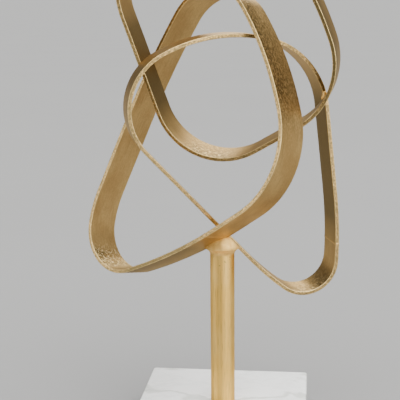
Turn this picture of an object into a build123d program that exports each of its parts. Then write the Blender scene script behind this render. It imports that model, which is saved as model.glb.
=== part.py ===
"""Metal knot sculpture on a marble block.

Three hoops of bent flat bar are linked with one another, seated edge to edge where they cross
and welded there. A round post carries the knot and is screwed to the block from below.
The origin is the middle of the surface that the sculpture rests on. +Z is up and +Y points
away from the front.
"""
import os
from math import acos, atan2, cos, degrees, hypot, radians, sin, sqrt

from build123d import *

# Flat bar that the hoops are bent from
bar_width = 30.0
bar_thickness = 3.2
seam_width = 1.6

# Marble block
block_width = 140.0
block_depth = 140.0
block_thickness = 25.0
block_corner_radius = 3.0
block_edge_radius = 1.2

# Non-slip sheet glued under the block
sheet_thickness = 2.0
sheet_inset = 2.0

# Post
post_diameter = 20.0
post_foot_chamfer = 0.8
post_top_drop = 9.0

# Screw, washer and their recess in the block
screw_diameter = 8.0
screw_grip = 22.0
screw_head_diameter = 14.0
screw_head_height = 4.6
screw_head_bevel = 1.6
screw_tip_chamfer = 1.0
socket_width = 5.0
socket_depth = 2.8
washer_diameter = 24.0
washer_thickness = 1.6
thread_end_room = 4.0
screw_clearance = 0.5
recess_clearance = 1.5
recess_depth = 12.0

# Point where the left and right hoops seat on one another above the post
knot_height = 145.0
knot_offset_x = 5.4
knot_offset_y = -10.0

# Bends of the upper hoop: radius to the middle of the bar, and angle in degrees
upper_heel_radius = 53.4
upper_heel_angle = 102.4
upper_crown_radius = 69.0
upper_crown_angle = 160.1
upper_flank_radius = 269.0
upper_flank_angle = 19.6
upper_cheek_radius = 58.4

# Bends of the right hoop
right_shoulder_radius = 48.6
right_shoulder_angle = 105.1
right_crown_radius = 123.0
right_crown_angle = 40.1
right_cheek_radius = 63.6
right_cheek_angle = 71.2
right_flank_radius = 367.0
right_flank_angle = 8.9
right_lobe_radius = 27.3
right_lobe_angle = 125.0
right_return_radius = 221.0

# Bends of the left hoop
left_belly_radius = 433.0
left_belly_angle = 14.0
left_lobe_radius = 34.7
left_lobe_angle = 115.2
left_rise_radius = 97.0
left_rise_angle = 17.0
left_flank_radius = 615.0
left_flank_angle = 8.6
left_crown_radius = 40.0
left_crown_angle = 110.6
left_side_radius = 263.0
left_side_angle = 19.4
left_cheek_radius = 70.0

# Weld metal
weld_radius = 3.6
bright_weld_radius = 4.2
post_weld_reach = 6.5
post_weld_foot_drop = 17.5
post_weld_rim_drop = 11.0
post_weld_rise = 2.0

# Cuts run this far past what they cut
overrun = 10.0

# How the right hoop stands, in degrees: swing turns its plane about +Z, lean tips its back up,
# and heading is the direction within the plane in which its first run leaves. The upper hoop
# has a lean of its own, and its seats on the other hoops settle the rest.
right_swing_angle = -17.5
right_lean_angle = 0.5
right_heading_angle = 133.1
upper_lean_angle = 8.0

# Places along a hoop, as shares of its bar's length from the start of its first run
left_knot_share = 0.057
right_knot_share = 0.0506
upper_shoulder_share = 0.304
right_shoulder_share = 0.3265
right_cheek_share = 0.614
right_crown_share = 0.5105
upper_seam_share = 0.55
right_seam_share = 0.816

# The left hoop is swung towards its contact with the upper hoop this many times
settling_rounds = 6

# Bevel at a crossing weld's ends, as a share of its radius
weld_bevel_share = 0.4

# Outline of the weld on the post: below its rim as shares of its reach and of the rim's height
# over its foot, and above as shares of the rim's radius and of the summit's height over the rim
post_weld_flare_shares = ((0, 0), (0.25, 0.62), (1, 1))
post_weld_dome_shares = ((0.8, 0.6), (0.42, 0.92), (0, 1))


# Each hoop's bends in the order that the bar takes them. RUN is a straight stretch: a hoop has
# two, as long as it takes to close it. The last bend of a hoop turns by what is left of a circle.
RUN = None
REST = None
upper_bends = {
    "bottom": RUN,
    "heel": (upper_heel_radius, upper_heel_angle),
    "back": RUN,
    "crown": (upper_crown_radius, upper_crown_angle),
    "flank": (upper_flank_radius, upper_flank_angle),
    "cheek": (upper_cheek_radius, REST),
}
right_bends = {
    "back": RUN,
    "shoulder": (right_shoulder_radius, right_shoulder_angle),
    "crown": (right_crown_radius, right_crown_angle),
    "cheek": (right_cheek_radius, right_cheek_angle),
    "front": RUN,
    "flank": (right_flank_radius, right_flank_angle),
    "lobe": (right_lobe_radius, right_lobe_angle),
    "return": (right_return_radius, REST),
}
left_bends = {
    "bottom": RUN,
    "belly": (left_belly_radius, left_belly_angle),
    "lobe": (left_lobe_radius, left_lobe_angle),
    "rise": (left_rise_radius, left_rise_angle),
    "back": RUN,
    "flank": (left_flank_radius, left_flank_angle),
    "crown": (left_crown_radius, left_crown_angle),
    "side": (left_side_radius, left_side_angle),
    "cheek": (left_cheek_radius, REST),
}


def heading_vector(angle):
    """Unit vector at an angle in degrees from a plane's X axis."""
    return Vector(cos(radians(angle)), sin(radians(angle)))


def with_rest(bends):
    """The same bends, with the last one's angle filled in."""
    *firsts, (last, (radius, _)) = bends.items()
    turned = sum(bend[1] for _, bend in firsts if bend is not RUN)
    return dict(firsts) | {last: (radius, 360 - turned)}


def run_lengths(bends, heading):
    """Lengths of a hoop's two straight runs, worked out so that the hoop closes."""
    gap, runs = Vector(), []
    for bend in bends.values():
        if bend is RUN:
            runs.append(heading_vector(heading))
        else:
            radius, turn = bend
            gap -= (heading_vector(heading - 90) - heading_vector(heading - turn - 90)) * radius
            heading -= turn
    first, second = runs
    crossed = first.cross(second).Z
    return [gap.cross(second).Z / crossed, first.cross(gap).Z / crossed]


def outline(bends, heading, start, outset=0):
    """A hoop's closed outline, clockwise, moved outwards this far from the middle of the bar."""
    lengths = run_lengths(bends, heading)
    place = start + heading_vector(heading + 90) * outset
    with BuildLine() as line:
        for bend in bends.values():
            if bend is RUN:
                edge = Line(place, place + heading_vector(heading) * lengths.pop(0))
            else:
                radius, turn = bend
                edge = JernArc(place, heading_vector(heading), radius + outset, -turn)
                heading -= turn
            place = edge @ 1
    return line.wire()


def unit_with_parts(first, first_part, second, second_part):
    """Unit vector that points away from the front and has these parts along two others."""
    square = first.cross(second)
    area = square.dot(square)
    share = (first_part * second.dot(second) - second_part * first.dot(second)) / area
    other_share = (second_part * first.dot(first) - first_part * first.dot(second)) / area
    within = first * share + second * other_share
    rest = square.normalized() * sqrt(1 - within.dot(within))
    return max(within + rest, within - rest, key=lambda vector: vector.Y)


def hoop_plane(back, contact, depth):
    """Middle plane of a hoop that passes this far in front of a contact point."""
    return Plane(contact - back * depth, x_dir=back.cross(Vector(0, 0, 1)), z_dir=-back)


def heading_onto(bends, name, share, reach):
    """Heading that brings a hoop's named bend to a second contact.

    The hoop's first contact is at this share of its length, and reach is the way from there.
    """
    loose = outline(bends, 0, Vector())
    centre = loose.edges()[list(bends).index(name)].arc_center - loose @ share
    distance = hypot(reach.X, reach.Y)
    radius, _ = bends[name]
    part = (distance**2 + centre.length**2 - radius**2) / (2 * distance * centre.length)
    return degrees(atan2(reach.Y, reach.X) - atan2(centre.Y, centre.X) + acos(part))


class Hoop:
    """A closed band of flat bar, whose middle is at its plane's origin at the contact share."""

    def __init__(self, name, bends, plane, heading, contact_share, seam_share):
        self.name, self.bends, self.plane = name, bends, plane
        self.heading, self.seam_share = heading, seam_share
        self.start = -(outline(bends, heading, Vector()) @ contact_share)
        self.middle = outline(bends, heading, self.start)
        self.far_edge = plane.offset(-bar_width / 2).from_local_coords(self.middle)
        self.near_edge = plane.offset(bar_width / 2).from_local_coords(self.middle)

    def bend(self, edge, name):
        """One bend of the far or near edge, by its name."""
        return edge.edges()[list(self.bends).index(name)]

    def seam_plane(self):
        """Plane square to the bar at its seam."""
        place = self.far_edge @ self.seam_share
        along = self.far_edge % self.seam_share
        return Plane(origin=place, x_dir=self.plane.z_dir, z_dir=along)


def save(piece, name):
    """Labels a finished piece and writes its file."""
    piece.part.label = name
    export_step(piece.part, f"parts/{name}.step")


def cut_hoops(hoops):
    """Takes the hoops' bars out of the piece that is being built."""
    for hoop in hoops:
        add(hoop.bar, mode=Mode.SUBTRACT)


def bend_bar(hoop, seated_on):
    """Bends a hoop's bar, with shallow seats where it rests on hoops that are already fitted."""
    with BuildPart() as bar:
        with BuildSketch(hoop.plane):
            make_face(outline(hoop.bends, hoop.heading, hoop.start, bar_thickness / 2).edges())
            inside = outline(hoop.bends, hoop.heading, hoop.start, -bar_thickness / 2)
            make_face(inside.edges(), mode=Mode.SUBTRACT)
        extrude(amount=bar_width / 2, both=True)
        cut_hoops(seated_on)
    hoop.bar = bar.part


def close_hoop(hoop):
    """Splits a hoop's bar into the band and the weld that joins the band's two ends."""
    for name, mode in ((hoop.name, Mode.SUBTRACT), (f"{hoop.name}_seam", Mode.INTERSECT)):
        with BuildPart() as piece:
            add(hoop.bar)
            with BuildSketch(hoop.seam_plane().offset(-seam_width / 2)):
                Rectangle(2 * (bar_width + overrun), bar_thickness + overrun)
            extrude(amount=seam_width, mode=mode)
        save(piece, name)


def crossing_weld(name, place, front, radius):
    """Weld metal round the place where one hoop's far edge meets the hoop behind it."""
    with BuildPart() as weld:
        with Locations(Plane(place, z_dir=front.plane.z_dir)):
            Cylinder(radius, 2 * radius)
        chamfer(weld.edges().filter_by(GeomType.CIRCLE), radius * weld_bevel_share)
        cut_hoops((left, right, upper))
    save(weld, name)


os.makedirs("parts", exist_ok=True)

# Heights, worked out from the surface that the sculpture rests on
block_top = sheet_thickness + block_thickness
knot_level = block_top + knot_height
post_top = knot_level - post_top_drop
recess_top = sheet_thickness + recess_depth
washer_bottom = recess_top - washer_thickness

# The right hoop stands on the contact above the post
contact = Vector(knot_offset_x, knot_offset_y, knot_level)
right_back = Vector(
    sin(radians(right_swing_angle)) * cos(radians(right_lean_angle)),
    cos(radians(right_swing_angle)) * cos(radians(right_lean_angle)),
    sin(radians(right_lean_angle)),
)
right_plane = hoop_plane(right_back, contact, -bar_width / 2)
right = Hoop(
    "right_hoop", with_rest(right_bends), right_plane, right_heading_angle,
    right_knot_share, right_seam_share,
)

# The upper hoop passes behind the right one's shoulder and in front of its cheek
shoulder = right.far_edge @ right_shoulder_share
cheek = right.near_edge @ right_cheek_share
upper_back = unit_with_parts(
    cheek - shoulder, bar_width, Vector(0, 0, 1), sin(radians(upper_lean_angle))
)
upper_plane = hoop_plane(upper_back, shoulder, -bar_width / 2)
upper_turns = with_rest(upper_bends)
upper_heading = heading_onto(
    upper_turns, "cheek", upper_shoulder_share, upper_plane.to_local_coords(cheek)
)
upper = Hoop(
    "upper_hoop", upper_turns, upper_plane, upper_heading, upper_shoulder_share, upper_seam_share
)

# The left hoop passes in front of the right one above the post and again at its crown, and is
# swung about those two contacts until it meets the upper hoop's back from behind
crown = right.near_edge @ right_crown_share
left_turns = with_rest(left_bends)
upper_edge = upper.bend(upper.far_edge, "back")
meeting = upper_edge @ 0.5
for _ in range(settling_rounds):
    left_back = unit_with_parts(crown - contact, 0, meeting - contact, -bar_width)
    left_plane = hoop_plane(left_back, contact, bar_width / 2)
    left_heading = heading_onto(
        left_turns, "side", left_knot_share, left_plane.to_local_coords(crown)
    )
    left = Hoop(
        "left_hoop", left_turns, left_plane, left_heading, left_knot_share, left_knot_share
    )
    left_edge = left.bend(left.near_edge, "flank")
    _, meeting, _ = upper_edge.distance_to_with_closest_points(left_edge)

bend_bar(left, ())
bend_bar(right, (left,))
bend_bar(upper, (left, right))
for hoop in (left, right, upper):
    close_hoop(hoop)

# Welds at the hoops' crossings
crossing_weld("left_shoulder_weld", shoulder, right, weld_radius)
crossing_weld("right_cheek_weld", cheek, upper, bright_weld_radius)
crossing_weld("crown_weld", crown, left, weld_radius)
crossing_weld("upper_left_weld", meeting, upper, weld_radius)

# Post, with a tapped hole in its foot
with BuildPart() as post:
    with BuildSketch(Plane.XY.offset(block_top)):
        Circle(post_diameter / 2)
    extrude(amount=post_top - block_top)
    chamfer(post.faces().sort_by(Axis.Z)[0].edges(), post_foot_chamfer)
    with BuildSketch(Plane.XY.offset(block_top)):
        Circle(screw_diameter / 2)
    extrude(amount=screw_grip + thread_end_room, mode=Mode.SUBTRACT)
    cut_hoops((left, right))
save(post, "post")

# Weld metal that fills from the post's top to the two hoops and flares out under them
post_radius = post_diameter / 2
foot = knot_level - post_weld_foot_drop
rim = knot_level - post_weld_rim_drop
summit = knot_level + post_weld_rise
with BuildPart() as post_weld:
    with BuildSketch(Plane.XZ):
        with BuildLine():
            Polyline(
                *[(post_radius + post_weld_reach * reach, foot + (rim - foot) * height)
                  for reach, height in post_weld_flare_shares],
                *[((post_radius + post_weld_reach) * reach, rim + (summit - rim) * height)
                  for reach, height in post_weld_dome_shares],
                (0, post_top),
                (post_radius, post_top),
                close=True,
            )
        make_face()
    revolve(axis=Axis.Z)
    cut_hoops((left, right, upper))
    add(post_weld.solids().sort_by(Axis.Z)[0], mode=Mode.REPLACE)
save(post_weld, "post_weld")

# Marble block, recessed from below for the screw's head
with BuildPart() as marble_block:
    with BuildSketch(Plane.XY.offset(sheet_thickness)):
        RectangleRounded(block_width, block_depth, block_corner_radius)
    extrude(amount=block_thickness)
    faces = marble_block.faces().sort_by(Axis.Z)
    fillet(faces[0].edges() + faces[-1].edges(), block_edge_radius)
    with Locations(Location((0, 0, sheet_thickness), (180, 0, 0))):
        CounterBoreHole(
            radius=screw_diameter / 2 + screw_clearance,
            counter_bore_radius=washer_diameter / 2 + recess_clearance,
            counter_bore_depth=recess_depth,
        )
save(marble_block, "marble_block")

with BuildPart() as base_washer:
    with BuildSketch(Plane.XY.offset(washer_bottom)):
        Circle(washer_diameter / 2)
        Circle(screw_diameter / 2 + screw_clearance, mode=Mode.SUBTRACT)
    extrude(amount=washer_thickness)
save(base_washer, "base_washer")

# Button-head screw with a hexagonal socket, from under the washer up into the post
with BuildPart() as base_screw:
    with BuildSketch(Plane.XY.offset(washer_bottom)):
        Circle(screw_head_diameter / 2)
    extrude(amount=-screw_head_height)
    chamfer(base_screw.faces().sort_by(Axis.Z)[0].edges(), screw_head_bevel)
    with BuildSketch(Plane.XY.offset(washer_bottom - screw_head_height)):
        RegularPolygon(socket_width / 2, 6, major_radius=False)
    extrude(amount=socket_depth, mode=Mode.SUBTRACT)
    with BuildSketch(Plane.XY.offset(washer_bottom)):
        Circle(screw_diameter / 2)
    extrude(amount=block_top - washer_bottom + screw_grip)
    chamfer(base_screw.faces().sort_by(Axis.Z)[-1].edges(), screw_tip_chamfer)
save(base_screw, "base_screw")

with BuildPart() as base_sheet:
    with BuildSketch(Plane.XY):
        RectangleRounded(
            block_width - 2 * sheet_inset, block_depth - 2 * sheet_inset, block_corner_radius
        )
    extrude(amount=sheet_thickness)
save(base_sheet, "base_sheet")
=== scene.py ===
"""Looks of the metal knot sculpture: antiqued gold flat-bar hoops and post on a marble block."""

from math import copysign, cos, degrees, isclose, pi, radians, sin

import bmesh
import bpy
from mathutils import Matrix, Vector, noise


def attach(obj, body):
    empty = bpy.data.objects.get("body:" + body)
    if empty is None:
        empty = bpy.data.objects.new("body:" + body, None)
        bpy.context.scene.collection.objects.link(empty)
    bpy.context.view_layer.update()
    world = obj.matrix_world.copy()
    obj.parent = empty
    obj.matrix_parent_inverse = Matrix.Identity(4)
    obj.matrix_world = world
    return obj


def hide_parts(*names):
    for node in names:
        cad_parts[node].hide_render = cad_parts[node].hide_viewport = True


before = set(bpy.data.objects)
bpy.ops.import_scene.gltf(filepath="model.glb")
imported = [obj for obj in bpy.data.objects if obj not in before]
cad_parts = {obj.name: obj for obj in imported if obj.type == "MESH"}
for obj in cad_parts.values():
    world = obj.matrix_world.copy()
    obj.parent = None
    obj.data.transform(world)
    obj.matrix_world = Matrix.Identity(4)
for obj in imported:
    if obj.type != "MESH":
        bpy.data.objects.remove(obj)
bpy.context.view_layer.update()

mm = 0.001

# Flat bar of the hoops
bar_width = 30 * mm
bar_thickness = 3.2 * mm
corner_radius = 0.5 * mm

# How finely the bar is modelled: steps round a corner, columns across a face, cuts across an edge,
# how far the outermost cuts stand from the corners, and the rings along the bar
corner_steps = 3
face_columns = 12
edge_cuts = 2
flat_margin = 0.3 * mm
ring_pitch = 2 * mm
fewest_rings = 2
ring_merge = 0.05 * mm

# Hand-worked unevenness of the bar
wave_depth = 0.15 * mm
waves_per_metre = 30

# Block and sheet heights, and the contact above the post
sheet_thickness = 2 * mm
block_thickness = 25 * mm
block_top = sheet_thickness + block_thickness
knot = Vector((5.4, -10, 145)) * mm + Vector((0, 0, block_top))

# Post
post_radius = 10 * mm
post_chamfer = 0.8 * mm
post_top_drop = 9 * mm

# Turned shapes: steps round them, and how near points on the axis are merged
turning_steps = 96
axis_merge = 0.01 * mm

# Post weld: heights of its foot and rim below the contact and of its summit above it, how far it
# stands out from the post, the powers that shape its flare and its dome, and its lumps
post_weld_foot_drop = 19 * mm
post_weld_rim_drop = 11.6 * mm
post_weld_rise = 1.6 * mm
post_weld_reach = 6.0 * mm
post_weld_flare = 2.8
post_weld_dome = 0.45
post_weld_rows = 14
post_weld_lumps = 0.4 * mm
post_weld_lumps_per_metre = 230
lap = 0.4 * mm
foot_sink = lap / 4

# Beads at the hoops' crossings, in mm: place, half-length along the strands, half-width, and the
# two hoops
BEADS = {
    "left_shoulder_weld": ((-64.67, -1.87, 307.11), 2.8, 1.9, ("right_hoop", "upper_hoop")),
    "right_cheek_weld": ((81.1, 12.2, 282.3), 4.8, 2.8, ("upper_hoop", "right_hoop")),
    "crown_weld": ((44.46, 0.91, 325.93), 2.8, 1.9, ("left_hoop", "right_hoop")),
    "upper_left_weld": ((-60.14, 27.79, 309.18), 2.8, 1.9, ("upper_hoop", "left_hoop")),
}
BRIGHT_BEAD = "right_cheek_weld"
bead_subdivisions = 4
bead_lumps = 1.0 * mm
bead_lumps_per_metre = 330

# Butt-weld seams: half-width, and the bead's height in mm at shares of the half-width
seam_half = 0.9 * mm
SEAM_HEIGHTS = ((-1, -0.1), (-0.55, 0.09), (0, 0.14), (0.55, 0.09), (1, -0.1))

# Edges that turn by more than these degrees stay crisp
weld_crisp_angle = 50
post_crisp_angle = 30

# A hoop's straight stretch, whose length closes the hoop
RUN = None

# Each hoop as the CAD model has it: its plane's swing about +Z and lean, and the heading of its
# first run, in degrees, the middle of its bar at the contact, the contact's and the seam's shares
# of its length, and its bends as radius in mm and angle. Then its wear and painted shade: places
# that were brushed hard, places whose inner face is painted dark brown (partly patina, partly
# painted shade for darker reflections) and places whose outer face is painted darker (painted
# shade for darker reflections), each as middle share, half-length share and strength
HOOPS = {
    "upper_hoop": dict(
        swing=7.385, lean=8.0, heading=210.264, contact_share=0.304, seam_share=0.55,
        contact=Vector((-62.763, 12.858, 309.193)) * mm,
        bends=(RUN, (53.4, 102.4), RUN, (69.0, 160.1), (269.0, 19.6), (58.4, 77.9)),
        brushed=((0.138, 0.05, 0.9), (0.62, 0.1, 0.5)),
        inner_patina_and_shade=((0.30, 0.12, 0.9), (0.93, 0.06, 0.6)),
        outer_painted_shade=((0.85, 0.13, 1.0),),
    ),
    "right_hoop": dict(
        swing=-17.5, lean=0.5, heading=133.1, contact_share=0.0506, seam_share=0.816,
        contact=Vector((0.890, 4.305, 172.131)) * mm,
        bends=(
            RUN, (48.6, 105.1), (123.0, 40.1), (63.6, 71.2),
            RUN, (367.0, 8.9), (27.3, 125.0), (221.0, 9.7),
        ),
        brushed=((0.895, 0.05, 0.7), (0.30, 0.08, 0.5)),
        inner_patina_and_shade=((0.70, 0.17, 1.0), (0.25, 0.08, 0.6)),
        outer_painted_shade=((0.28, 0.1, 0.5),),
    ),
    "left_hoop": dict(
        swing=32.695, lean=-11.127, heading=215.554, contact_share=0.057, seam_share=0.057,
        contact=Vector((-2.550, -22.386, 174.895)) * mm,
        bends=(
            RUN, (433.0, 14.0), (34.7, 115.2), (97.0, 17.0),
            RUN, (615.0, 8.6), (40.0, 110.6), (263.0, 19.4), (70.0, 75.2),
        ),
        brushed=((0.248, 0.028, 1.0), (0.765, 0.15, 1.0)),
        inner_patina_and_shade=((0.16, 0.04, 0.4), (0.222, 0.03, 0.8)),
        outer_painted_shade=((0.045, 0.035, 0.4), (0.14, 0.10, 1.0), (0.79, 0.17, 0.12)),
    ),
}

# How firmly a place's wear and painted shade hold before they fade: 0.5 fades from the middle on
wear_and_shade_hold = 0.9

# Zones of the bar's section, as depths below its faces where they begin and where they are full
INNER_FACE = (0.7 * mm, 0.3 * mm)
EDGE_FACE = (0.45 * mm, 0.15 * mm)
CORNER = (0.75 * mm, 0.2 * mm)
RIM = (0.9 * mm, 0.3 * mm)

# Across the bar, from its back to its front, where hard brushing and the stronger painted shade of
# the outer faces begin and where they are full
brushing_and_shade_begins = -0.35 * bar_width
brushing_and_shade_full = 0.5 * bar_width

# Pits on the post, as drops below the contact
pits_begin_drop = 45 * mm
pits_full_drop = 17 * mm

# Colours of the antiqued metal
GOLD = (0.475, 0.30, 0.112, 1)
TAN = (0.60, 0.40, 0.158, 1)
BROWN = (0.10, 0.066, 0.025, 1)
PALE = (0.92, 0.69, 0.31, 1)
MOSS = (0.17, 0.135, 0.055, 1)
FLECK_AND_GLINT = (1.0, 0.82, 0.46, 1)
POST_DEEP = (0.76, 0.455, 0.10, 1)
POST_LIGHT = (0.84, 0.535, 0.132, 1)
WELD_DEEP = (0.78, 0.48, 0.135, 1)
WELD_LIGHT = (0.88, 0.60, 0.21, 1)
EDGE_TINT = (0.95, 0.82, 0.62, 1)

# Colours of the marble, the steel, the sheet and the floor
MARBLE_WHITE = (0.95, 0.955, 0.93, 1)
MARBLE_CLOUD = (0.78, 0.79, 0.745, 1)
MARBLE_VEIN = (0.50, 0.52, 0.46, 1)
MARBLE_LINE = (0.42, 0.43, 0.42, 1)
STEEL_DARK = (0.42, 0.42, 0.42, 1)
STEEL_LIGHT = (0.62, 0.62, 0.61, 1)
RUBBER_DARK = (0.02, 0.02, 0.02, 1)
RUBBER_LIGHT = (0.05, 0.05, 0.05, 1)
FLOOR_DARK = (0.30, 0.299, 0.295, 1)
FLOOR_LIGHT = (0.32, 0.319, 0.315, 1)

# How far the marble's veins wander, in metres
VEIN_WANDER = (0.05, 0.05, 0.05)

# Sockets of a Mix node that mixes colours
MIX_FACTOR, MIX_FIRST, MIX_SECOND = 0, 6, 7
MIX_RESULT = 2

# Camera of the photograph
camera_place = Vector((73.6, -791.5, 359.5)) * mm
camera_azimuth = 6.6
camera_pitch = 11.4
camera_roll = 0.5
camera_lens = 90

# Floor in metres: its half-size, its cells each way, and how far its rim rises beyond a share of it
floor_reach = 500
floor_cells = 4
floor_rise = 12
floor_rise_share = 0.9

# Room: its shade to the left and to the right, and how far to each side it keeps changing
ROOM_LEFT = (0.12, 0.12, 0.125, 1)
ROOM_RIGHT = (0.55, 0.545, 0.53, 1)
room_fade = 0.9

# Lights as name, kind, place, size in metres (the sun's in degrees) and power, and their aim
LIGHTS = (
    ("overhead", "SUN", (0.4, -0.3, 2.2), 80, 6.6),
    ("right_softbox", "AREA", (1.7, -0.9, 0.2), 1.0, 22),
    ("back_softbox", "AREA", (0.1, 1.9, 1.1), 0.9, 11),
    ("front_softbox", "AREA", (1.0, -1.9, 0.5), 0.9, 22),
    ("left_softbox", "AREA", (-2.0, -0.85, 0.55), 0.8, 20),
)
light_aim = Vector((0, 0, 0.25))


def heading_vector(angle):
    """Level direction at an angle in degrees from +X."""
    return Vector((cos(radians(angle)), sin(radians(angle)), 0))


def verts_in(geometry):
    """The corners in what an operator gives back."""
    return [g for g in geometry if isinstance(g, bmesh.types.BMVert)]


def edges_in(geometry):
    """The edges in what an operator gives back."""
    return [g for g in geometry if isinstance(g, bmesh.types.BMEdge)]


def new_object(name, shape, finish):
    """Puts a bmesh into the scene as an object with one finish."""
    mesh = bpy.data.meshes.new(name)
    shape.to_mesh(mesh)
    shape.free()
    mesh.materials.append(finish)
    thing = bpy.data.objects.new(name, mesh)
    bpy.context.collection.objects.link(thing)
    return thing


def new_piece(name, shape, finish, node):
    """Turns a bmesh into a finished piece that stands for a CAD node."""
    bmesh.ops.recalc_face_normals(shape, faces=shape.faces)
    for face in shape.faces:
        face.smooth = True
    piece = new_object(name, shape, finish)
    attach(piece, "root")
    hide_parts(node)
    return piece


class Bar:
    """A hoop's bar: its bends in metres, its plane, its place, its wear and its painted shade."""

    def __init__(
        self, swing, lean, heading, contact_share, seam_share, contact, bends, brushed, inner_patina_and_shade, outer_painted_shade
    ):
        level = Vector((sin(radians(swing)), cos(radians(swing)), 0))
        across = Vector((cos(radians(swing)), -sin(radians(swing)), 0))
        self.back = level * cos(radians(lean)) + Vector((0, 0, sin(radians(lean))))
        up = (-self.back).cross(across)
        self.heading = heading
        self.stretches = self.solve([b if b is RUN else (b[0] * mm, b[1]) for b in bends])
        self.length = sum(self.stretch_length(s) for s in self.stretches)
        self.seam_along = self.length * seam_share
        self.contact_along = self.length * contact_share
        self.wear_and_shade = (brushed, inner_patina_and_shade, outer_painted_shade)
        rotation = Matrix((across, up, -self.back)).transposed().to_4x4()
        origin, _ = self.station(self.contact_along)
        self.to_world = Matrix.Translation(contact) @ rotation @ Matrix.Translation(-origin)

    def solve(self, bends):
        """Stretches as (run length, None) or (radius, angle), with runs that close the hoop."""
        heading, gap, runs = self.heading, Vector((0, 0, 0)), []
        for bend in bends:
            if bend is RUN:
                runs.append(heading_vector(heading))
            else:
                radius, turn = bend
                gap -= (heading_vector(heading - 90) - heading_vector(heading - turn - 90)) * radius
                heading -= turn
        first, second = runs
        crossed = first.cross(second).z
        lengths = [gap.cross(second).z / crossed, first.cross(gap).z / crossed]
        return [(lengths.pop(0), None) if bend is RUN else bend for bend in bends]

    def strength(self, patches, along):
        """How strongly the strongest of some patches of wear and painted shade shows at a distance
        along the bar.
        """
        share, most = along / self.length, 0.0
        for middle, half, amount in patches:
            away = abs((share - middle + 0.5) % 1 - 0.5) / half
            most = max(most, amount * min(1, wear_and_shade_hold * (1 + cos(pi * min(1, away)))))
        return most

    def direction_near(self, place, tries=600):
        """Which way the bar goes where it is nearest to a place."""
        best = min(
            (self.station(self.length * index / tries) for index in range(tries)),
            key=lambda station: (self.to_world @ station[0] - place).length,
        )
        return self.to_world.to_3x3() @ heading_vector(best[1])

    @staticmethod
    def stretch_length(stretch):
        """Length of the bar in a run or a bend."""
        size, turn = stretch
        return size if turn is None else size * radians(turn)

    def station(self, along):
        """Place in the hoop's plane and heading at a distance along the bar."""
        place, heading = Vector((0, 0, 0)), self.heading
        for size, turn in self.stretches:
            length = self.stretch_length((size, turn))
            if along <= length:
                break
            along -= length
            place, heading = self.advance(place, heading, size, turn, length)
        return self.advance(place, heading, size, turn, along)

    @staticmethod
    def advance(place, heading, size, turn, length):
        """Place and heading after some length of a run or a bend."""
        if turn is None:
            return place + heading_vector(heading) * length, heading
        centre = place + heading_vector(heading - 90) * size
        turned = degrees(length / size)
        return centre - heading_vector(heading - turned - 90) * size, heading - turned


def bar_section(shape, bar):
    """The bar's rounded section, standing across the start of its first run."""
    layer = shape.verts.layers.float_vector.new("bar_place")
    bmesh.ops.create_grid(
        shape, x_segments=1, y_segments=1, size=1,
        matrix=Matrix.Diagonal((bar_thickness / 2, bar_width / 2, 1, 1)),
    )
    bmesh.ops.bevel(
        shape, geom=shape.verts[:], offset=corner_radius, offset_type="OFFSET",
        segments=corner_steps, profile=0.5, affect="VERTICES", material=-1,
    )
    bmesh.ops.delete(shape, geom=shape.faces[:], context="FACES_ONLY")
    long_edges = [e for e in shape.edges if e.calc_length() > bar_width / 2]
    short_edges = [e for e in shape.edges
                   if bar_thickness / 2 < e.calc_length() < bar_width / 2]
    bmesh.ops.subdivide_edges(shape, edges=long_edges, cuts=face_columns - 1)
    bmesh.ops.subdivide_edges(shape, edges=short_edges, cuts=edge_cuts)
    # The outermost cuts of each flat stand close to the corners, so the flats stay flat
    face_end, edge_end = bar_width / 2 - corner_radius, bar_thickness / 2 - corner_radius
    outermost = face_end * (1 - 2 / face_columns)
    for vert in shape.verts:
        if isclose(abs(vert.co.y), outermost, abs_tol=flat_margin):
            vert.co.y = copysign(face_end - flat_margin, vert.co.y)
        if abs(vert.co.x) < edge_end / 2:
            vert.co.x = copysign(edge_end - flat_margin, vert.co.x)
    # The section's X goes outwards from the hoop and its Y goes to the front
    across = heading_vector(bar.heading + 90)
    turn = Matrix((across, Vector((0, 0, 1)), across.cross(Vector((0, 0, 1))))).transposed()
    for vert in shape.verts:
        vert[layer] = (0, vert.co.y, vert.co.x)
    bmesh.ops.transform(shape, matrix=turn.to_4x4(), verts=shape.verts)
    return layer


def sweep_bar(shape, bar):
    """Carries the section round the hoop, and notes each corner's place on the bar."""
    layer = bar_section(shape, bar)
    ring = shape.edges[:]
    along, place, heading = 0.0, Vector((0, 0, 0)), bar.heading
    for size, turn in bar.stretches:
        length = bar.stretch_length((size, turn))
        steps = max(fewest_rings, round(length / ring_pitch))
        step = length / steps
        for _ in range(steps):
            if turn is None:
                out = bmesh.ops.extrude_edge_only(shape, edges=ring)["geom"]
                bmesh.ops.translate(shape, vec=heading_vector(heading) * step, verts=verts_in(out))
            else:
                centre = place + heading_vector(heading - 90) * size
                out = bmesh.ops.spin(
                    shape, geom=ring, cent=centre, axis=(0, 0, -1), angle=step / size, steps=1,
                )["geom_last"]
            place, heading = bar.advance(place, heading, size, turn, step)
            along += step
            ring = edges_in(out)
            for vert in verts_in(out):
                vert[layer] = (along, vert[layer][1], vert[layer][2])
    return layer


def keep_places(shape, layer, bar):
    """Copies the places on the bar to the faces' corners, so the last ring keeps the bar's end."""
    corners = shape.loops.layers.float_vector.new("bar_corner")
    wear_and_shade = shape.loops.layers.float_vector.new("bar_wear_and_shade")
    for face in shape.faces:
        for corner in face.loops:
            place = corner.vert[layer]
            corner[corners] = place
            corner[wear_and_shade] = [bar.strength(patches, place[0]) for patches in bar.wear_and_shade]


def wave(shape, depth, per_metre):
    """Moves the surface inwards a little, unevenly, as hand work leaves it."""
    shape.normal_update()
    for vert in shape.verts:
        vert.co += vert.normal * depth * (noise.noise(vert.co * per_metre) - 1) / 2


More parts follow.
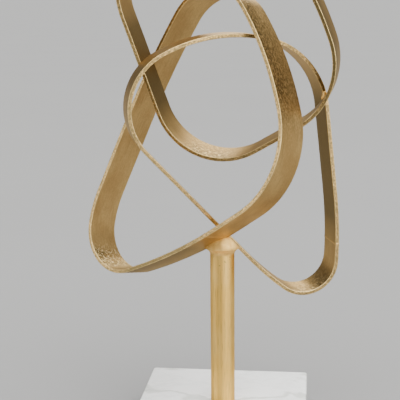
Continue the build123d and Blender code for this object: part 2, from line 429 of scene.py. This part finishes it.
def make_hoop(name, bar, finish):
    """A hoop's bar from end to end, closed on itself and put in its place."""
    shape = bmesh.new()
    layer = sweep_bar(shape, bar)
    keep_places(shape, layer, bar)
    bmesh.ops.remove_doubles(shape, verts=shape.verts, dist=ring_merge)
    bmesh.ops.transform(shape, matrix=bar.to_world, verts=shape.verts)
    bmesh.ops.recalc_face_normals(shape, faces=shape.faces)
    wave(shape, wave_depth, waves_per_metre)
    return new_piece(f"{name}_band", shape, finish, name)


def turned(profile):
    """A shape turned about the post's axis from a profile of radius and height."""
    shape = bmesh.new()
    verts = [shape.verts.new((radius, 0, height)) for radius, height in profile]
    edges = [shape.edges.new(pair) for pair in zip(verts, verts[1:])]
    bmesh.ops.spin(
        shape, geom=verts + edges, cent=(0, 0, 0), axis=(0, 0, 1), angle=2 * pi,
        steps=turning_steps, use_merge=True,
    )
    bmesh.ops.remove_doubles(shape, verts=shape.verts, dist=axis_merge)
    return shape


def make_post(finish):
    """Turned post, chamfered at both ends."""
    top = knot.z - post_top_drop
    shape = turned((
        (0, block_top), (post_radius - post_chamfer, block_top),
        (post_radius, block_top + post_chamfer), (post_radius, top - post_chamfer),
        (post_radius - post_chamfer, top), (0, top),
    ))
    piece = new_piece("post_bar", shape, finish, "post")
    piece.data.set_sharp_from_angle(angle=radians(post_crisp_angle))
    return piece


def weld_dome():
    """Weld metal round the post's top: a hollow flare up to its rim, and a low dome above it."""
    foot, rim = knot.z - post_weld_foot_drop, knot.z - post_weld_rim_drop
    summit = knot.z + post_weld_rise
    profile = [(0, foot), (post_radius - lap, foot)]
    for row in range(post_weld_rows + 1):
        share = row / post_weld_rows
        profile.append((
            post_radius - foot_sink + post_weld_reach * share ** post_weld_flare,
            foot + (rim - foot) * share,
        ))
    for row in range(1, post_weld_rows + 1):
        turn = pi / 2 * row / post_weld_rows
        profile.append((
            (post_radius + post_weld_reach) * cos(turn) ** post_weld_dome,
            rim + (summit - rim) * sin(turn),
        ))
    shape = turned(profile)
    bmesh.ops.recalc_face_normals(shape, faces=shape.faces)
    shape.normal_update()
    for vert in shape.verts:
        rise = min(1, max(0, (vert.co.z - foot) / (rim - foot)))
        lump = noise.noise(vert.co * post_weld_lumps_per_metre)
        vert.co += vert.normal * post_weld_lumps * rise * lump
    return shape


def cut_away(shape, place, normal):
    """Cuts a shape by a plane, drops what is on the normal's side and closes the cut."""
    out = bmesh.ops.bisect_plane(
        shape, geom=shape.verts[:] + shape.edges[:] + shape.faces[:], plane_co=place,
        plane_no=normal, clear_outer=True,
    )["geom_cut"]
    bmesh.ops.holes_fill(shape, edges=edges_in(out), sides=0)


def joined(shapes):
    """One shape of several."""
    whole = bmesh.new()
    for shape in shapes:
        mesh = bpy.data.meshes.new("part")
        shape.to_mesh(mesh)
        shape.free()
        whole.from_mesh(mesh)
        bpy.data.meshes.remove(mesh)
    return whole


def make_post_weld(left, right, finish):
    """The dome in three overlapping parts, cut where the two hoops pass over the post."""
    under = []
    for bar in (left, right):
        middle, heading = bar.station(bar.contact_along)
        out = bar.to_world.to_3x3() @ heading_vector(heading + 90)
        under.append((bar.to_world @ middle, out if out.z > 0 else -out))
    behind_left = (knot - left.back * lap, -left.back)
    cuts = (
        ((knot, left.back), under[0], under[1]),
        (behind_left, (knot, -right.back), under[1]),
        (behind_left, (knot + right.back * lap, right.back), under[1]),
    )
    parts = [weld_dome() for _ in cuts]
    for part, planes in zip(parts, cuts):
        for place, normal in planes:
            cut_away(part, place, normal)
    piece = new_piece("post_weld_fillet", joined(parts), finish, "post_weld")
    piece.data.set_sharp_from_angle(angle=radians(weld_crisp_angle))
    return piece


def make_bead(name, place, half_length, half_width, strands, finish):
    """A bead of weld metal, long the way that the two crossing strands go."""
    shape = bmesh.new()
    bmesh.ops.create_icosphere(shape, subdivisions=bead_subdivisions, radius=1)
    first, second = strands
    along = first + second * (1 if first.dot(second) > 0 else -1)
    turn = along.to_track_quat("Z", "Y").to_matrix().to_4x4()
    size = Matrix.Diagonal((half_width * mm, half_width * mm, half_length * mm, 1))
    bmesh.ops.transform(
        shape, matrix=Matrix.Translation(Vector(place) * mm) @ turn @ size, verts=shape.verts
    )
    wave(shape, bead_lumps, bead_lumps_per_metre)
    return new_piece(name.replace("weld", "bead"), shape, finish, name)


def make_seam(name, bar, finish):
    """A low bead round the bar where its two ends are welded together."""
    shape = bmesh.new()
    bar_section(shape, bar)
    ring, rings = shape.edges[:], [shape.verts[:]]
    for _ in SEAM_HEIGHTS[1:]:
        out = bmesh.ops.extrude_edge_only(shape, edges=ring)["geom"]
        rings.append(verts_in(out))
        ring = edges_in(out)
    bmesh.ops.holes_fill(shape, edges=[e for e in shape.edges if e.is_boundary], sides=0)
    heading_turn = Matrix.Rotation(radians(bar.heading), 4, "Z")
    for verts, (share, height) in zip(rings, SEAM_HEIGHTS):
        thicker = 1 + height * mm / (bar_thickness / 2)
        wider = 1 + height * mm / (bar_width / 2)
        shift = Matrix.Translation((share * seam_half, 0, 0))
        swell = shift @ Matrix.Diagonal((1, thicker, wider, 1))
        bmesh.ops.transform(
            shape, matrix=heading_turn @ swell @ heading_turn.inverted(), verts=verts
        )
    middle, heading = bar.station(bar.seam_along)
    place = Matrix.Translation(middle) @ Matrix.Rotation(radians(heading - bar.heading), 4, "Z")
    bmesh.ops.transform(shape, matrix=bar.to_world @ place, verts=shape.verts)
    piece = new_piece(name.replace("seam", "seam_bead"), shape, finish, name)
    piece.data.set_sharp_from_angle(angle=radians(weld_crisp_angle))
    return piece


class Wire:
    """A node's output that can take part in sums."""

    def __init__(self, finish, socket):
        self.finish, self.socket = finish, socket

    def maths(self, operation, *values):
        """A Math node on some values."""
        return self.finish.node("Math", {"operation": operation}, dict(enumerate(values)))

    def __add__(self, other):
        return self.maths("ADD", self, other)

    def __sub__(self, other):
        return self.maths("SUBTRACT", self, other)

    def __rsub__(self, other):
        return self.maths("SUBTRACT", other, self)

    def __mul__(self, other):
        return self.maths("MULTIPLY", self, other)

    def __abs__(self):
        return self.maths("ABSOLUTE", self)

    __radd__ = __add__
    __rmul__ = __mul__

    def step(self, low, high):
        """0 below low, 1 above high and a soft ramp between them."""
        return self.finish.node(
            "MapRange", {"interpolation_type": "SMOOTHSTEP"},
            {"Value": self, "From Min": low, "From Max": high},
        )

    def below(self, low, high):
        """1 below low, 0 above high and a soft ramp between them."""
        return 1 - self.step(low, high)

    def near(self, face, zone):
        """1 at a face, in a zone given by the depths where it begins and where it is full."""
        begins, full = zone
        return self.step(face - begins, face - full)


class Finish:
    """A material on the Principled shader."""

    def __init__(self, name, **constants):
        self.material = bpy.data.materials.new(name)
        self.material.use_nodes = True
        self.tree = self.material.node_tree
        self.shader = self.tree.nodes["Principled BSDF"]
        for socket, value in constants.items():
            self.shader.inputs[socket.replace("_", " ")].default_value = value

    def node(self, kind, settings, sockets, output=0):
        """Adds a node and gives its output: settings first, then its sockets' values or links."""
        node = self.tree.nodes.new("ShaderNode" + kind)
        for setting, value in settings.items():
            setattr(node, setting, value)
        for socket, value in sockets.items():
            if isinstance(value, Wire):
                self.tree.links.new(value.socket, node.inputs[socket])
            else:
                node.inputs[socket].default_value = value
        return Wire(self, node.outputs[output])

    def mix(self, factor, first, second):
        """Colour mix."""
        return self.node(
            "Mix", {"data_type": "RGBA", "clamp_factor": True},
            {MIX_FACTOR: factor, MIX_FIRST: first, MIX_SECOND: second}, output=MIX_RESULT,
        )

    def cover(self, base, colour, where, amount):
        """Lays a colour over a base, as much as a mask and an amount say."""
        return self.mix(where * amount, base, colour)

    def stretched(self, place, per_metre):
        """The place multiplied by a count per metre along each of its axes."""
        return self.node("VectorMath", {"operation": "MULTIPLY"}, {0: place, 1: per_metre})

    def noise(self, place, per_metre, detail=3, roughness=0.55):
        """Noise with so many lumps per metre along each axis."""
        return self.node("TexNoise", {}, {
            "Vector": self.stretched(place, per_metre), "Scale": 1.0,
            "Detail": detail, "Roughness": roughness,
        })

    def object_place(self):
        """Place in the object's own frame, in metres."""
        return self.node("TexCoord", {}, {}, output="Object")

    def attribute(self, name):
        """A vector kept in the mesh."""
        return self.node("Attribute", {"attribute_name": name}, {}, output="Vector")

    def parts(self, vector):
        """The three parts of a vector."""
        node = self.tree.nodes.new("ShaderNodeSeparateXYZ")
        self.tree.links.new(vector.socket, node.inputs[0])
        return [Wire(self, socket) for socket in node.outputs]

    def feed(self, socket, wire):
        """Links a wire to the shader."""
        self.tree.links.new(wire.socket, self.shader.inputs[socket])

    def bump(self, height, strength, distance):
        """Raises the surface by a height."""
        self.feed("Normal", self.node(
            "Bump", {}, {"Strength": strength, "Distance": distance, "Height": height}
        ))


def hoop_finish():
    """Satin gold, brushed hard in places, painted brown where faces are shaded (painted shade,
    partly patina), with worn pale corners.
    """
    finish = Finish("antiqued_gold_bar", Metallic=1.0, Specular_Tint=EDGE_TINT)
    place = finish.attribute("bar_corner")
    _, width, thickness = finish.parts(place)
    brushed, inner_patina_and_shade, outer_painted_shade = finish.parts(finish.attribute("bar_wear_and_shade"))
    inside = (0 - thickness).near(bar_thickness / 2, INNER_FACE)
    edge = abs(width).near(bar_width / 2, EDGE_FACE)
    corner = abs(thickness).near(bar_thickness / 2, CORNER)
    rim = abs(width).near(bar_width / 2, RIM)
    nearer = width.step(brushing_and_shade_begins, brushing_and_shade_full)

    # Counts per metre along the bar, across it and through it
    patches = finish.noise(place, (28, 45, 45))
    marks = finish.noise(place, (340, 700, 700), roughness=0.65)
    specks = finish.noise(place, (620, 850, 850), roughness=0.6)
    long_streaks = finish.noise(place, (50, 700, 700))
    grain = finish.noise(place, (1300, 1900, 1900), detail=2)

    # Painted shade: brown on the inner faces (partly patina) and on the outer faces, stronger
    # towards the front of the bar, standing in for darker reflections
    shade = inside * 0.93 * inner_patina_and_shade + (1 - inside) * outer_painted_shade * (0.5 + 0.35 * nearer)
    hard = brushed * (0.45 + 0.55 * nearer) * (1 - 0.85 * edge)
    soft = 0.12 + 0.8 * hard
    worn = rim * corner * (0.3 + 0.5 * grain.step(0.36, 0.56))

    base = finish.mix(patches.step(0.35, 0.7), GOLD, TAN)
    base = finish.mix(shade, base, BROWN)
    base = finish.cover(base, BROWN, hard * marks.below(0.42, 0.52), 0.9)
    # Bright flecks in the hard-brushed marks: partly scratch wear, partly painted highlight,
    # strongest on the inner faces
    base = finish.mix(hard * marks.step(0.53, 0.60) * (0.15 + 0.85 * inside), base, FLECK_AND_GLINT)
    base = finish.cover(base, BROWN, soft * specks.below(0.42, 0.55), 0.9)
    base = finish.cover(base, PALE, soft * specks.step(0.58, 0.68), 0.4)
    base = finish.cover(base, BROWN, long_streaks.step(0.5, 0.72), 0.2)
    # Moss and brown specks on the narrow edges: partly patina, partly painted shade for their
    # darker reflections
    base = finish.cover(base, MOSS, edge * specks.below(0.36, 0.64), 0.85)
    base = finish.cover(base, BROWN, edge * grain.below(0.38, 0.56), 0.45)
    base = finish.cover(base, PALE, edge * specks.step(0.54, 0.72), 0.3)
    base = finish.mix(worn, base, PALE)

    roughness = 0.36 + 0.1 * patches + hard * 0.2 * (marks - 0.5) + 0.1 * edge * grain
    relief = marks * hard * 1.2 + specks * soft * 0.5 + grain * 0.2
    finish.feed("Base Color", base)
    finish.feed("Roughness", roughness)
    finish.bump(relief, strength=0.5, distance=0.22 * mm)
    return finish.material


def post_finish():
    """Satin gold with soft streaks up and down, and a few pits below the weld."""
    finish = Finish("satin_gold_post", Metallic=1.0, Specular_Tint=EDGE_TINT)
    place = finish.object_place()
    _, _, height = finish.parts(place)
    streaks = finish.noise(place, (420, 420, 9), detail=4)
    fine = finish.noise(place, (1500, 1500, 60))
    grain = finish.noise(place, (1800, 1800, 700), detail=2)
    patches = finish.noise(place, (60, 60, 25), detail=2)
    near_weld = height.step(knot.z - pits_begin_drop, knot.z - pits_full_drop)
    pits = near_weld * finish.noise(place, (520, 520, 330), detail=2).step(0.64, 0.72)
    base = finish.mix(streaks.step(0.35, 0.68), POST_DEEP, POST_LIGHT)
    base = finish.cover(base, PALE, patches.step(0.4, 0.7), 0.25)
    base = finish.cover(base, BROWN, fine.below(0.34, 0.46), 0.3)
    base = finish.cover(base, BROWN, pits, 0.7)
    finish.feed("Base Color", base)
    finish.feed("Roughness", 0.34 + 0.1 * grain + 0.08 * patches)
    finish.bump(fine * 0.4 + grain * 0.3 - pits, strength=0.25, distance=0.15 * mm)
    return finish.material


def weld_finish():
    """Bright satin weld metal."""
    finish = Finish("bright_weld", Metallic=1.0, Specular_Tint=EDGE_TINT)
    place = finish.object_place()
    lumps = finish.noise(place, (300, 300, 300))
    grain = finish.noise(place, (1500, 1500, 1500))
    pits = finish.noise(place, (480, 480, 480), detail=2).step(0.66, 0.76)
    base = finish.mix(lumps.step(0.3, 0.7), WELD_DEEP, WELD_LIGHT)
    finish.feed("Base Color", finish.cover(base, BROWN, pits, 0.35))
    finish.feed("Roughness", 0.46 + 0.2 * grain)
    finish.bump(grain * 0.5 + lumps - pits, strength=0.3, distance=0.25 * mm)
    return finish.material


def dull_weld_finish():
    """Weld metal that went dull with the hoops."""
    finish = Finish("dull_weld", Metallic=1.0, Specular_Tint=EDGE_TINT)
    place = finish.object_place()
    lumps = finish.noise(place, (500, 500, 500))
    grain = finish.noise(place, (1500, 1500, 1500))
    base = finish.mix(lumps.step(0.35, 0.65), GOLD, TAN)
    finish.feed("Base Color", finish.cover(base, PALE, grain.step(0.5, 0.7), 0.3))
    finish.feed("Roughness", 0.4 + 0.15 * grain)
    finish.bump(grain, strength=0.3, distance=0.2 * mm)
    return finish.material


def marble_finish():
    """White marble with a few broad soft veins and faint fine ones."""
    finish = Finish("white_marble", Roughness=0.22)
    place = finish.object_place()
    warp = finish.noise(place, (14, 14, 14), detail=4)
    cloud = finish.noise(place, (22, 30, 22), detail=5, roughness=0.6)
    wander = finish.stretched(warp, VEIN_WANDER)
    moved = finish.node("VectorMath", {"operation": "ADD"}, {0: place, 1: wander})
    lines = finish.noise(moved, (26, 44, 26), detail=6, roughness=0.6)
    veins = finish.noise(moved, (9, 17, 9))
    base = finish.mix(cloud.step(0.4, 0.75) * 0.5, MARBLE_WHITE, MARBLE_CLOUD)
    base = finish.cover(base, MARBLE_VEIN, abs(veins - 0.5).below(0.0, 0.05), 0.7)
    base = finish.cover(base, MARBLE_LINE, abs(lines - 0.5).below(0.0, 0.045), 0.14)
    finish.feed("Base Color", base)
    return finish.material


def steel_finish():
    """Zinc-plated steel of the screw and washer."""
    finish = Finish("zinc_steel", Metallic=1.0)
    grain = finish.noise(finish.object_place(), (600, 600, 600))
    finish.feed("Base Color", finish.mix(grain, STEEL_DARK, STEEL_LIGHT))
    finish.feed("Roughness", 0.3 + 0.15 * grain)
    return finish.material


def rubber_finish():
    """Black rubber of the non-slip sheet."""
    finish = Finish("black_rubber")
    grain = finish.noise(finish.object_place(), (900, 900, 900))
    finish.feed("Base Color", finish.mix(grain, RUBBER_DARK, RUBBER_LIGHT))
    finish.feed("Roughness", 0.75 + 0.15 * grain)
    finish.bump(grain, strength=0.3, distance=0.2 * mm)
    return finish.material


def floor_finish():
    """Plain pale floor, with hardly any gloss."""
    finish = Finish("pale_floor", Roughness=0.75, Specular_IOR_Level=0.05)
    cloud = finish.noise(finish.object_place(), (2, 2, 2))
    finish.feed("Base Color", finish.mix(cloud, FLOOR_DARK, FLOOR_LIGHT))
    return finish.material


def dress(node, finish):
    """Gives a CAD node a finish."""
    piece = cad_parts[node]
    piece.data.materials.clear()
    piece.data.materials.append(finish)


def make_floor():
    """Floor that rises a little far away, so that the view ends on it and not on the room."""
    shape = bmesh.new()
    bmesh.ops.create_grid(
        shape, x_segments=floor_cells, y_segments=floor_cells, size=floor_reach
    )
    far = floor_rise_share * floor_reach
    rim = [v for v in shape.verts if max(abs(v.co.x), abs(v.co.y)) > far]
    bmesh.ops.translate(shape, vec=(0, 0, floor_rise), verts=rim)
    new_object("floor", shape, floor_finish())


def make_room():
    """Soft light from all round, darker on the left."""
    world = bpy.data.worlds.new("soft_room")
    world.use_nodes = True
    tree = world.node_tree
    coordinates = tree.nodes.new("ShaderNodeTexCoord")
    side = tree.nodes.new("ShaderNodeSeparateXYZ")
    ramp = tree.nodes.new("ShaderNodeMapRange")
    room = tree.nodes.new("ShaderNodeMix")
    room.data_type = "RGBA"
    ramp.inputs["From Min"].default_value = -room_fade
    ramp.inputs["From Max"].default_value = room_fade
    room.inputs[MIX_FIRST].default_value = ROOM_LEFT
    room.inputs[MIX_SECOND].default_value = ROOM_RIGHT
    tree.links.new(coordinates.outputs["Generated"], side.inputs[0])
    tree.links.new(side.outputs["X"], ramp.inputs["Value"])
    tree.links.new(ramp.outputs["Result"], room.inputs[MIX_FACTOR])
    tree.links.new(room.outputs[MIX_RESULT], tree.nodes["Background"].inputs["Color"])
    bpy.context.scene.world = world


def make_lights():
    """The sun, and the soft boxes, which show only in what is glossy."""
    for name, kind, place, size, power in LIGHTS:
        light = bpy.data.lights.new(name, kind)
        light.energy = power
        if kind == "SUN":
            light.angle = radians(size)
        else:
            light.size = size
        lamp = bpy.data.objects.new(name, light)
        lamp.visible_diffuse = kind == "SUN"
        lamp.location = place
        lamp.rotation_euler = (light_aim - Vector(place)).to_track_quat("-Z", "Y").to_euler()
        bpy.context.collection.objects.link(lamp)


def make_camera():
    """The photograph's camera."""
    azimuth, pitch, roll = radians(camera_azimuth), radians(camera_pitch), radians(camera_roll)
    forward = Vector((-sin(azimuth) * cos(pitch), cos(azimuth) * cos(pitch), -sin(pitch)))
    level = Vector((cos(azimuth), sin(azimuth), 0))
    down = forward.cross(level)
    right = level * cos(roll) + down * sin(roll)
    up = level * sin(roll) - down * cos(roll)
    lens = bpy.data.cameras.new("photo_camera")
    lens.lens = camera_lens
    camera = bpy.data.objects.new("photo_camera", lens)
    turn = Matrix((right, up, -forward)).transposed().to_4x4()
    camera.matrix_world = Matrix.Translation(camera_place) @ turn
    bpy.context.collection.objects.link(camera)
    bpy.context.scene.camera = camera


# The sculpture
gold = hoop_finish()
weld = weld_finish()
dull_weld = dull_weld_finish()
bars = {name: Bar(**facts) for name, facts in HOOPS.items()}
for name, bar in bars.items():
    make_hoop(name, bar, gold)
    make_seam(f"{name}_seam", bar, dull_weld)
make_post(post_finish())
make_post_weld(bars["left_hoop"], bars["right_hoop"], weld)
for name, (place, half_length, half_width, hoops) in BEADS.items():
    strands = [bars[hoop].direction_near(Vector(place) * mm) for hoop in hoops]
    finish = weld if name == BRIGHT_BEAD else dull_weld
    make_bead(name, place, half_length, half_width, strands, finish)
dress("marble_block", marble_finish())
steel = steel_finish()
dress("base_screw", steel)
dress("base_washer", steel)
dress("base_sheet", rubber_finish())

# The studio
make_floor()
make_room()
make_lights()
make_camera()
